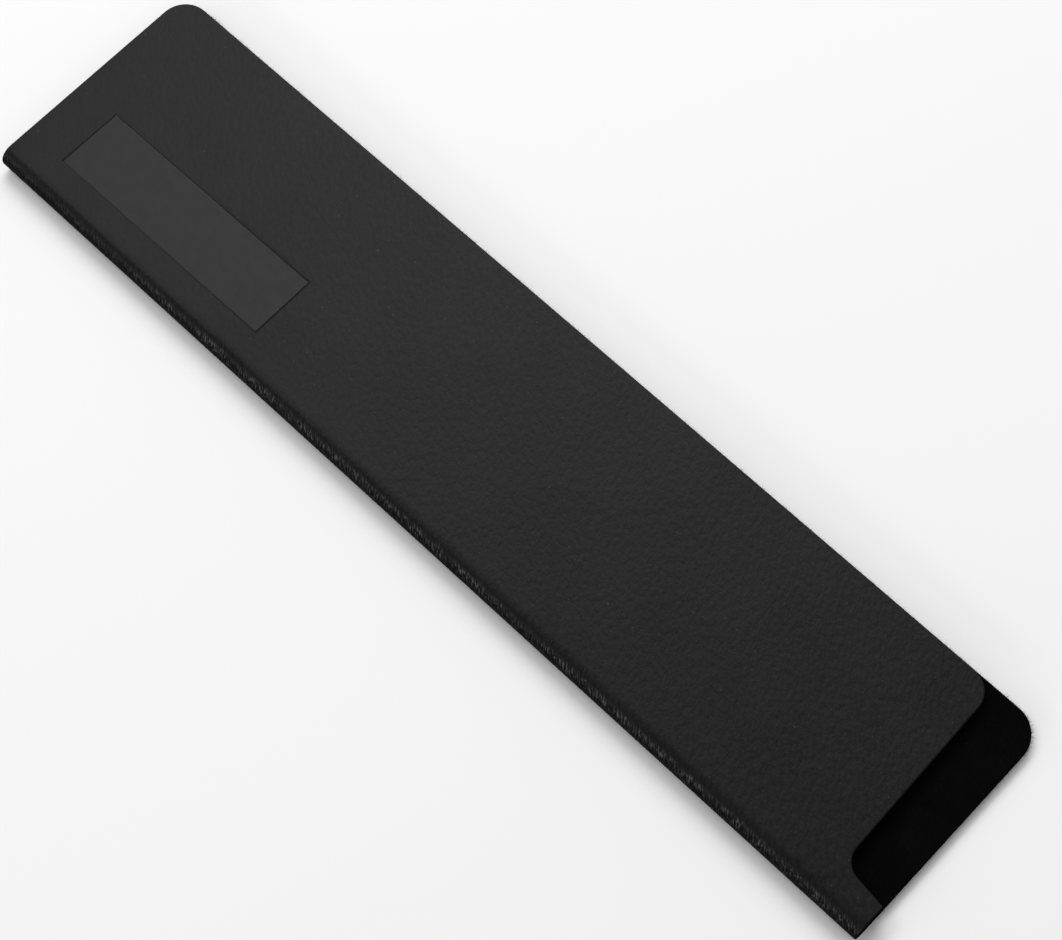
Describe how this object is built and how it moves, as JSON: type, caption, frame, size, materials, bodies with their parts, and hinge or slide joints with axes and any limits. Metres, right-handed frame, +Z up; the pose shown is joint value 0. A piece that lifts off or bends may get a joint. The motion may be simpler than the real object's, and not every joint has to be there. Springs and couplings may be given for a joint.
{
  "type": "knife blade guard",
  "caption": "Folded plastic knife guard lined with felt; it springs open about the fold along its long edge, and its front is cut back at the mouth.",
  "frame": {"origin": "under the middle of the guard, on the back panel's outer face", "axes": "+X along the guard from its closed end to its mouth, +Y from the fold to the open edge, +Z up from the back panel through the front panel"},
  "size_m": [0.22, 0.0504, 0.0058],
  "materials": {
    "grained_plastic": "black, fine matt grain",
    "felt": "black pressed felt",
    "adhesive": "clear adhesive film, dark over the black sheet",
    "label": "smooth satin black, bare"
  },
  "bodies": {
    "back": {"back_panel": "grained_plastic", "back_adhesive": "adhesive", "back_felt": "felt", "fold_panel_lower": "grained_plastic", "fold_panel_upper": "grained_plastic", "fold_adhesive": "adhesive", "fold_felt": "felt"},
    "front": {"front_panel": "grained_plastic", "front_adhesive": "adhesive", "front_felt": "felt", "label_film": "label"}
  },
  "joints": [
    {"name": "fold_open", "type": "hinge", "parent": "back", "child": "front", "pos_m": [0, -0.0223, 0.0029], "axis": [1, 0, 0], "range_deg": [0, 30], "stiffness_Nm_per_rad": 0.6, "springref_deg": -2.01, "deforming": ["fold_panel_lower", "fold_panel_upper", "fold_adhesive", "fold_felt"]}
  ]
}
